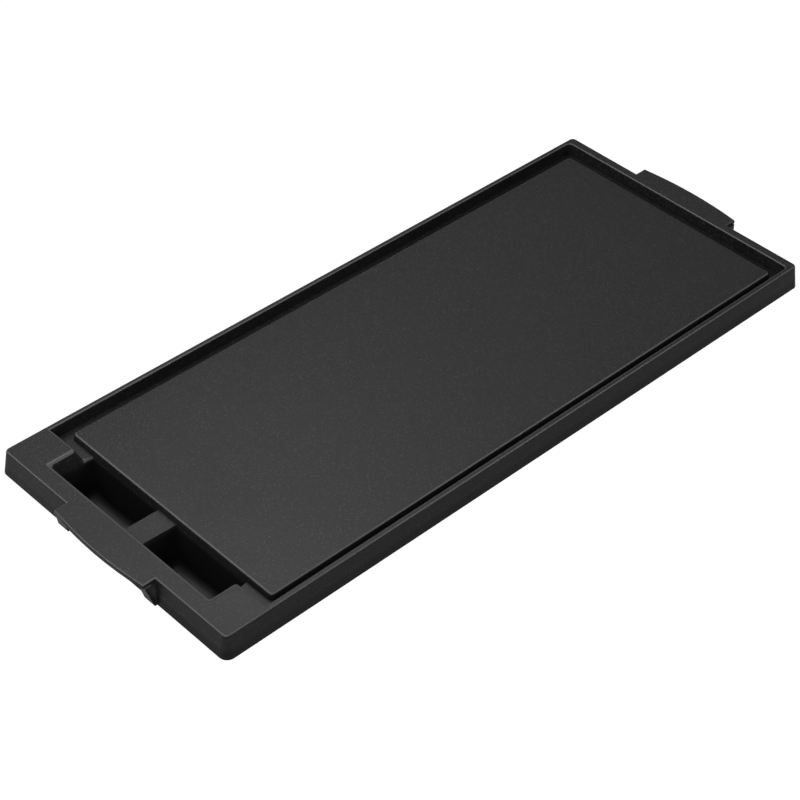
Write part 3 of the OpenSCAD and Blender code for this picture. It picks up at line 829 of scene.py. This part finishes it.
def make_washer(name):
    washer = add_drum(name, (0, 0, 0), 4.5, 0.8, 40)
    cut(washer, add_drum("hole", (0, 0, -1), 2.2, 3, 24))
    soften(washer, 0.12)
    return washer


def turned_about_x(piece, degrees):
    piece.rotation_euler.x = math.radians(degrees)
    settle(piece)
    return piece


def make_fixings():
    """Screws, nuts and washers, each size modelled once."""
    clamp_spots = [(x, y + s) for x in (-120, 60) for y in (-72, -26, 26, 72) for s in (-9, 9)]
    place_copies(make_washer("washer"), "base_washer", "base_washers", [(x, y, 7.2) for x, y in POST_SPOTS])
    place_copies(
        make_screw("screw", 3.94, 22, 7.5, 2.6), "base_screw", "base_screws", [(x, y, 7.2) for x, y in POST_SPOTS]
    )
    place_copies(
        make_screw("screw", 3.94, 9, 7.5, 2.6), "foot_screw", "foot_screws", [(x, y, 4) for x, y in FOOT_SPOTS]
    )
    place_copies(
        make_screw("screw", 3.94, 6, 7.5, 2.6), "rail_screw", "rail_screws",
        [(x, y, 34.8) for x in (-256, -241) for y in (-98, 98)],
    )
    place_copies(
        make_screw("screw", 2.9, 6, 5.5, 1.8), "clamp_screw", "clamp_screws", [(x, y, 27.7) for x, y in clamp_spots]
    )
    place_copies(make_nut("nut"), "foot_nut", "foot_nuts", [(x, y, 9.2) for x, y in FOOT_SPOTS])
    place_copies(
        turned_about_x(make_screw("screw", 3.94, 9, 7.5, 2.6), 90), "inlet_screw", "inlet_screws",
        [(x, 95, INLET_Z) for x in INLET_SPOTS],
    )
    place_copies(
        turned_about_x(make_nut("nut"), 90), "inlet_nut", "inlet_nuts", [(x, 90.8, INLET_Z) for x in INLET_SPOTS]
    )


# ---- casting ----

BEVEL_TOP = 4.0


def weigh_edges(piece, rules):
    """Give each creased edge the width in mm of the first rule that takes it, as a share of BEVEL_TOP."""
    mesh = piece.data
    weights = mesh.attributes.new("bevel_weight_edge", "FLOAT", "EDGE")
    faces_of = {}
    for face in mesh.polygons:
        for key in face.edge_keys:
            faces_of.setdefault(key, []).append(face)
    for edge in mesh.edges:
        faces = faces_of.get(edge.key, [])
        if len(faces) != 2 or faces[0].normal.angle(faces[1].normal) < math.radians(25):
            continue
        a, b = (mesh.vertices[i].co / MM for i in edge.vertices)
        convex = (faces[1].center - faces[0].center).dot(faces[0].normal) < 0
        for wanted, width in rules:
            if wanted(a, b, convex):
                weights.data[edge.index].value = width / BEVEL_TOP
                break


def level(z, a, b):
    return abs(a.z - z / MM) < 0.02 and abs(b.z - z / MM) < 0.02


def within(x0, x1, y0, y1, a, b):
    """Whether both ends lie in the rectangle, taken on both sides of the middle line."""
    return all(x0 <= p.x <= x1 and y0 <= abs(p.y) <= y1 for p in (a, b))


def along_x(a, b):
    return abs(a.y - b.y) < 0.02


def make_casting():
    """The cast plate: a merged copy of the plate, with every edge that a hand meets rounded."""
    casting = copy_of_node("griddle_plate", "griddle_casting")
    rules = [
        # shelf's edges over the chutes and towards the channel
        (lambda a, b, out: level(RIM_Z, a, b) and within(-256, -229, 0, 81, a, b), 2.4),
        (lambda a, b, out: level(RIM_Z, a, b) and within(-235, -234, 79, 104, a, b), 2.4),
        # corners of the shelf where the channel turns into the chutes
        (lambda a, b, out: within(-235, -229.5, 75.5, 80, a, b) and abs(a.z - b.z) > 9, 2.4),
        # edges along the bridge and at the chutes' outer ends, at the channel's level
        (lambda a, b, out: level(CHANNEL_Z, a, b) and within(-252, -223, 8, 77, a, b) and along_x(a, b), 2.4),
        # upright corners of the chutes
        (lambda a, b, out: within(-255, -243, 7, 80, a, b) and abs(a.z - b.z) > 9, 2.4),
        (lambda a, b, out: level(RIM_Z, a, b), 1.2),
        (lambda a, b, out: level(SLAB_Z, a, b), 1.3),
    ]
    weigh_edges(casting, rules)
    use_modifier(
        casting, "BEVEL", limit_method="WEIGHT", width=BEVEL_TOP * MM, segments=4, use_clamp_overlap=False,
        miter_outer="MITER_SHARP",
    )
    smooth(casting, 32)
    use_modifier(casting, "WEIGHTED_NORMAL", keep_sharp=True, weight=60)
    finish_piece(casting, "griddle_plate")


# ---- assembly ----

add_camera()
add_studio()
make_finishes()
make_casting()
make_tray()
make_base_pan()
make_reflector()
make_feet()
make_fixings()
make_eased("heating_element", "element_tube", 0.1)
make_eased("terminal_pins", "inlet_pins", 0.2)
make_eased("pin_insulators", "pin_beads", 0.25)
make_eased("sensor_tube", "probe_sleeve", 0.12)
make_eased("element_clamps", "clamp_straps", 0.25)
make_eased("reflector_spacers", "spacer_tubes", 0.25)
make_eased("inlet_shroud", "inlet_guard", 0.5)
make_eased("tray_rail_left", "rail_left", 0.25)
make_eased("tray_rail_right", "rail_right", 0.25)
